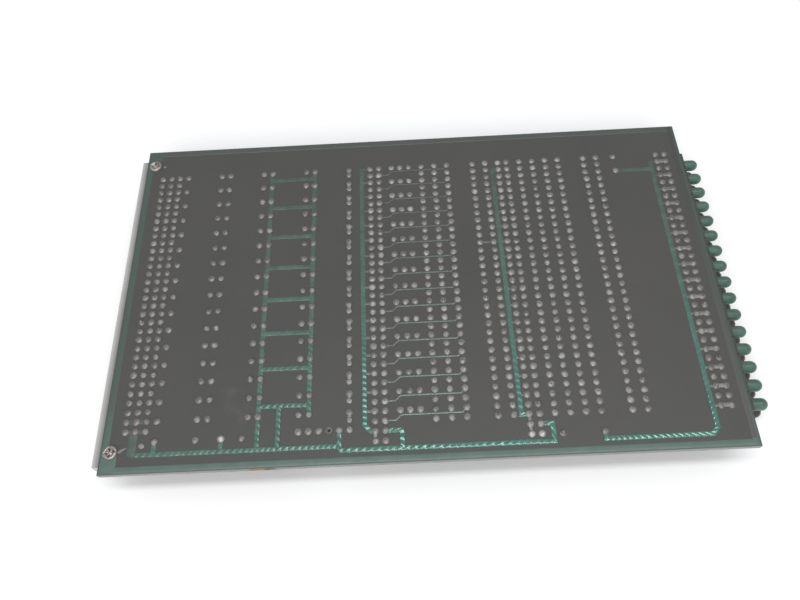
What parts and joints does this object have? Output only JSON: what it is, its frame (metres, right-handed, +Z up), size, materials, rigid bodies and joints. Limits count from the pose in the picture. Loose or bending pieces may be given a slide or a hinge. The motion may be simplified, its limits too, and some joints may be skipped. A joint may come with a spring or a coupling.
{
  "type": "industrial computer board",
  "caption": "Rack-format through-hole circuit board lying soldered side up, with an edge connector along one short side and a double row of indicator lamps along the other.",
  "frame": {"origin": "middle of the overall box, at the underside of the connector and the lamp holders", "axes": "+X along the board from the connector to the lamps, +Y along the connector, +Z up out of the soldered face"},
  "size_m": [0.169, 0.1, 0.0138],
  "materials": {
    "mask_laminate": "satin solder mask over glass laminate",
    "track_mask": "glossy wrinkled mask over tinned copper",
    "solder": "bright solder",
    "connector_plastic": "matt moulded",
    "contact_gold": "thin gold plate",
    "rivet_metal": "dull tin plate",
    "resistor_lacquer": "baked lacquer",
    "lead_tin": "tinned wire",
    "black_epoxy": "matt moulded",
    "network_case": "dipped coating",
    "capacitor_case": "satin moulded",
    "green_lens": "clear coloured resin",
    "red_lens": "clear coloured resin"
  },
  "bodies": {
    "root": {"circuit_board": "mask_laminate", "copper_border": "track_mask", "supply_tracks": "track_mask", "signal_tracks": "track_mask", "via_caps": "solder", "connector_joints": "solder", "axial_joints": "solder", "transistor_joints": "solder", "network_joints": "solder", "chip_joints": "solder", "header_joints": "solder", "capacitor_joints": "solder", "lamp_joints": "solder", "lamp_links": "solder", "open_pad": "solder", "connector_housing": "connector_plastic", "connector_contacts": "contact_gold", "connector_rivets": "rivet_metal", "input_resistors": "resistor_lacquer", "input_resistor_leads": "lead_tin", "divider_resistors": "resistor_lacquer", "divider_resistor_leads": "lead_tin", "clamp_diodes": "black_epoxy", "clamp_diode_leads": "lead_tin", "pulldown_resistors": "resistor_lacquer", "pulldown_resistor_leads": "lead_tin", "link_resistor": "resistor_lacquer", "link_resistor_leads": "lead_tin", "supply_capacitor": "capacitor_case", "supply_capacitor_leads": "lead_tin", "filter_capacitor": "capacitor_case", "filter_capacitor_leads": "lead_tin", "supply_header": "connector_plastic", "supply_header_pins": "contact_gold", "input_header": "black_epoxy", "input_header_pins": "contact_gold", "output_header": "black_epoxy", "output_header_pins": "contact_gold", "transistors": "black_epoxy", "transistor_leads": "lead_tin", "driver_chips": "black_epoxy", "driver_chip_pins": "lead_tin", "logic_chips": "black_epoxy", "logic_chip_pins": "lead_tin", "input_networks": "network_case", "input_network_pins": "lead_tin", "pullup_networks": "network_case", "pullup_network_pins": "lead_tin", "centre_networks": "network_case", "centre_network_pins": "lead_tin", "lamp_networks": "network_case", "lamp_network_pins": "lead_tin", "lamp_holders": "black_epoxy", "near_lamps": "green_lens", "far_lamps": "red_lens", "lamp_leads": "lead_tin"}
  },
  "joints": []
}
